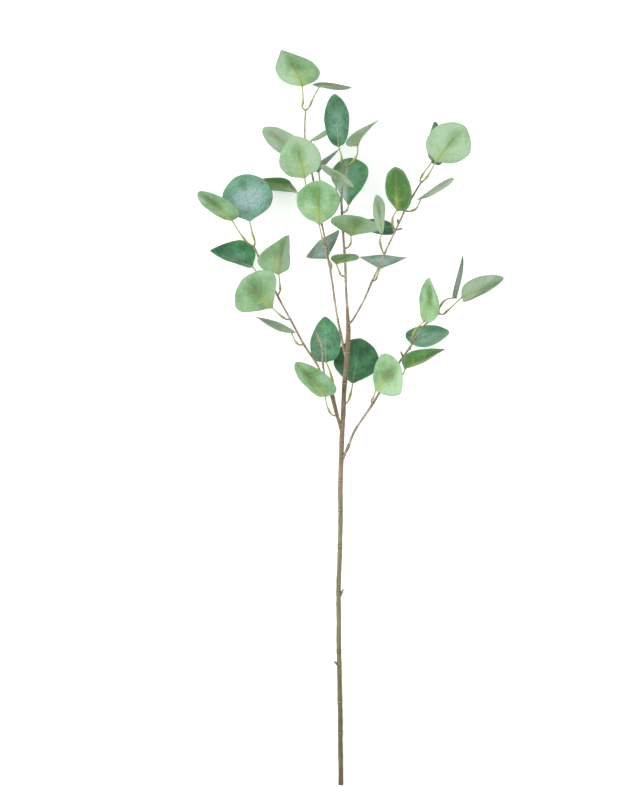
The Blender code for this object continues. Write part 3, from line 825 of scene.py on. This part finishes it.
def make_underside():
    """Mottled pale green with a yellow-green rib and forks."""
    look = Nodes("leaf_underside")
    side, q = look.side_and_q()
    strong, fine = look.veins()
    out = look.rim()
    patches = look.noise(50.0, 3.0)
    mottle = look.noise(330.0, 5.0)
    grain = look.noise(900.0, 2.0)

    # Depth of the green: the leaf's tone, partly painted shade, with patches and mottling, deeper in the
    # middle above the forks
    depth = look.plus(look.attribute("tone_and_shade"), look.scaled(patches, 1.4, -0.76))
    depth = look.plus(depth, look.scaled(mottle, 0.6, -0.27))
    middle = look.times(look.fade(side, 0.5, 0.0), look.fade(q, -0.6, 0.1), look.fade(out, 1.0, 0.4))
    depth = look.plus(depth, look.times(middle, 0.5))
    # Painted light and shade: the half painted as lit is paler and the other half deeper, as light falls
    # across the blade
    depth = look.math("SUBTRACT", depth, look.times(look.half(), 0.5))
    depth = look.least(look.most(depth, 0.0), 1.0)
    green = look.ramp(depth, [
        (0.0, (0.35, 0.55, 0.33)), (0.3, (0.23, 0.43, 0.2)),
        (0.6, (0.13, 0.3, 0.1)), (1.0, (0.065, 0.16, 0.04)),
    ])

    # Pale bloom with a painted sheen, a paler edge and fine side veins
    bloom_and_sheen = look.times(look.attribute("bloom_and_sheen"), look.scaled(mottle, 0.8, 0.25))
    green = look.mix(look.least(bloom_and_sheen, 0.7), green, (0.38, 0.44, 0.33))
    green = look.mix(look.times(look.fade(out, 0.8, 1.0), 0.35), green, (0.3, 0.42, 0.29))
    green = look.mix(look.times(fine, look.scaled(depth, -0.1, 0.13)), green, (0.33, 0.5, 0.22))

    # Yellow towards the base and along the rib and forks, with a dark smudge on the rib
    warmth = look.times(look.fade(side, 0.35, 0.0), look.fade(q, 0.2, -0.8))
    green = look.mix(look.times(warmth, 0.55), green, (0.31, 0.42, 0.1))
    vein_green = look.mix(patches, (0.3, 0.36, 0.08), (0.38, 0.48, 0.18))
    green = look.mix(look.times(strong, look.scaled(depth, -0.35, 0.72)), green, vein_green)
    smudge = look.times(look.fade(side, 0.1, 0.0), look.fade(q, -0.6, 0.0), look.fade(q, 0.42, 0.2))
    green = look.mix(look.times(smudge, 0.6), green, (0.15, 0.18, 0.03))

    look.set("Base Color", look.greyed_and_shaded(green))
    look.set("Roughness", look.scaled(grain, 0.2, 0.48))
    look.set("Specular IOR Level", 0.35)
    height = look.plus(look.times(strong, 0.6), look.times(fine, 0.2), look.times(grain, 0.25))
    look.bump(height, 0.5, 0.0006)
    return look.material


def make_upper_side():
    """Deep green under a speckled, bluish bloom and painted sheen."""
    look = Nodes("leaf_upper_side")
    q = look.side_and_q()[1]
    strong, fine = look.veins()
    out = look.rim()
    patches = look.noise(70.0, 4.0)
    speckle = look.fade(look.noise(380.0, 5.0), 0.0, 1.0)

    # The deep green under the bloom and painted sheen, deeper with the leaf's tone, which is partly painted
    # shade
    shade = look.scaled(look.attribute("tone_and_shade"), -0.35, 0.2)
    mottled = look.plus(patches, look.scaled(speckle, 0.4, -0.2))
    green = look.ramp(look.plus(mottled, shade), [
        (0.2, (0.016, 0.085, 0.03)), (0.45, (0.03, 0.18, 0.055)), (0.7, (0.06, 0.3, 0.1)),
    ])

    # Bluish bloom with a painted sheen, thickest in the middle and towards the base, and the more even the
    # more there is
    bloom_and_sheen = look.attribute("bloom_and_sheen")
    middle = look.times(look.fade(out, 1.0, 0.2), look.fade(q, 1.1, -0.2))
    here = look.scaled(middle, 0.9, look.scaled(bloom_and_sheen, 0.65, -0.15))
    even = look.times(bloom_and_sheen, 0.45)
    cover = look.times(look.fade(patches, 0.22, 0.72), look.math("SUBTRACT", 1.0, even))
    dust_and_sheen = look.times(look.plus(cover, even), look.scaled(speckle, 1.05, 0.27), bloom_and_sheen, look.most(here, 0.0))
    green = look.mix(look.least(dust_and_sheen, 0.85), green, (0.37, 0.505, 0.53))

    # The half that faces the light, green at the tip and bluish white at the base
    lit = look.times(look.most(look.half(), 0.0), 0.95, look.scaled(speckle, 0.7, 0.6))
    pale = look.mix(look.fade(q, 0.0, -0.9), (0.25, 0.44, 0.26), (0.5, 0.62, 0.64))
    green = look.mix(look.least(lit, 0.85), green, pale)

    # A paler edge and faint veins
    green = look.mix(look.times(look.fade(out, 0.9, 1.0), 0.15), green, (0.2, 0.36, 0.24))
    green = look.mix(look.times(fine, 0.08), green, (0.16, 0.34, 0.22))
    green = look.mix(look.times(strong, 0.2), green, (0.24, 0.4, 0.3))

    look.set("Base Color", look.greyed_and_shaded(green))
    look.set("Roughness", look.scaled(speckle, 0.22, 0.36))
    look.set("Specular IOR Level", 0.45)
    height = look.plus(look.times(strong, -0.6), look.times(fine, -0.4), look.times(speckle, 0.3))
    look.bump(height, 0.5, 0.0006)
    return look.material


def make_stalk_look():
    """Olive yellow, browner at the nub and greener along the rib."""
    look = Nodes("leaf_stalk")
    along = look.attribute("along")
    patches = look.noise(260.0, 3.0)
    colour = look.ramp(along, [
        (0.0, (0.3, 0.25, 0.13)), (0.06, (0.34, 0.31, 0.13)), (0.2, (0.37, 0.38, 0.13)),
        (0.42, (0.36, 0.39, 0.15)), (0.75, (0.31, 0.4, 0.12)), (1.0, (0.22, 0.34, 0.1)),
    ])
    colour = look.mix(look.times(look.fade(patches, 0.5, 0.75), 0.5), colour, (0.24, 0.17, 0.09))
    dusty_rib = look.times(look.fade(along, 0.5, 0.7), look.attribute("bloom_and_sheen"))
    colour = look.mix(look.times(dusty_rib, 0.8), colour, (0.19, 0.29, 0.22))
    look.set("Base Color", colour)
    look.set("Roughness", look.scaled(patches, 0.2, 0.45))
    look.set("Specular IOR Level", 0.35)
    look.bump(look.noise(900.0, 2.0), 0.4, 0.0004)
    return look.material


def make_bark_look():
    """Dark olive at the cut end and brown above, with paler twigs."""
    look = Nodes("bark")
    trunk = look.ramp(look.share_of_y(-0.43, 0.12), [
        (0.0, (0.135, 0.1, 0.05)), (0.18, (0.165, 0.145, 0.07)), (0.3, (0.2, 0.19, 0.1)),
        (0.46, (0.24, 0.23, 0.13)), (0.55, (0.25, 0.24, 0.145)), (0.66, (0.3, 0.235, 0.155)),
        (0.85, (0.22, 0.155, 0.09)), (1.0, (0.28, 0.2, 0.12)),
    ])
    change = look.fade(look.noise(45.0, 3.0), 0.36, 0.64)
    twigs = look.mix(change, (0.3, 0.215, 0.155), (0.47, 0.42, 0.33))
    colour = look.mix(look.attribute("twig"), trunk, twigs)

    # Dark streaks along the stem, and olive patches
    streaks = look.noise(420.0, 4.0, (1.0, 0.12, 1.0))
    patches = look.noise(60.0, 3.0)
    colour = look.mix(look.times(look.fade(streaks, 0.42, 0.72), 0.55), colour, (0.1, 0.07, 0.045))
    colour = look.mix(look.times(look.fade(patches, 0.5, 0.75), 0.35), colour, (0.28, 0.3, 0.17))

    # A pale ring between two dark lines, and olive nubs
    ring = look.attribute("ring")
    dark_side = look.times(look.fade(ring, 0.05, 0.3), look.fade(ring, 0.75, 0.4))
    colour = look.mix(look.times(dark_side, 0.5), colour, (0.11, 0.08, 0.045))
    colour = look.mix(look.times(look.fade(ring, 0.6, 0.95), 0.42), colour, (0.46, 0.42, 0.28))
    colour = look.mix(look.times(look.attribute("nub"), 0.7), colour, (0.33, 0.3, 0.13))

    look.set("Base Color", colour)
    look.set("Roughness", look.scaled(streaks, 0.25, 0.6))
    look.set("Specular IOR Level", 0.3)
    look.bump(streaks, 0.7, 0.0008)
    return look.material


# Floor and light

def make_floor():
    """A plain white floor, just under the branch."""
    mesh = bpy.data.meshes.new("floor")
    side = FLOOR_REACH * MM
    corners = [(-side, -side, 0), (side, -side, 0), (side, side, 0), (-side, side, 0)]
    mesh.from_pydata(corners, [], [(0, 1, 2, 3)])
    floor = bpy.data.objects.new("floor", mesh)
    floor.location.z = -FLOOR_DROP * MM
    look = Nodes("floor")
    look.set("Base Color", (0.98, 0.98, 0.98))
    look.set("Roughness", 0.9)
    look.set("Specular IOR Level", 0.0)
    look.set("Emission Color", (1.0, 1.0, 1.0))
    look.set("Emission Strength", 0.36)
    mesh.materials.append(look.material)
    bpy.context.scene.collection.objects.link(floor)


def add_light(name, place, target, size, power):
    """A soft square light, size metres wide, that faces the target."""
    data = bpy.data.lights.new(name, "AREA")
    data.shape = "SQUARE"
    data.size = size
    data.energy = power
    light = bpy.data.objects.new(name, data)
    light.location = place
    light.rotation_euler = (Vector(target) - Vector(place)).to_track_quat("-Z", "Y").to_euler()
    bpy.context.scene.collection.objects.link(light)


make_floor()
world = bpy.data.worlds.new("studio")
world.use_nodes = True
background = world.node_tree.nodes["Background"]
background.inputs["Color"].default_value = (1.0, 1.0, 1.0, 1.0)
background.inputs["Strength"].default_value = 0.93
bpy.context.scene.world = world
add_light("key", place=(-2.2, 1.6, 2.0), target=(0, 0, 0), size=2.0, power=62.0)
bpy.context.scene.view_settings.view_transform = "Standard"

# The branch

routes = {name: smooth_route(points) for name, points in STEMS.items()}
make_bark(routes, make_bark_look())
leaf_materials = [make_underside(), make_upper_side(), make_stalk_look()]
for leaf in LEAVES:
    make_leaf(leaf, routes, leaf_materials)
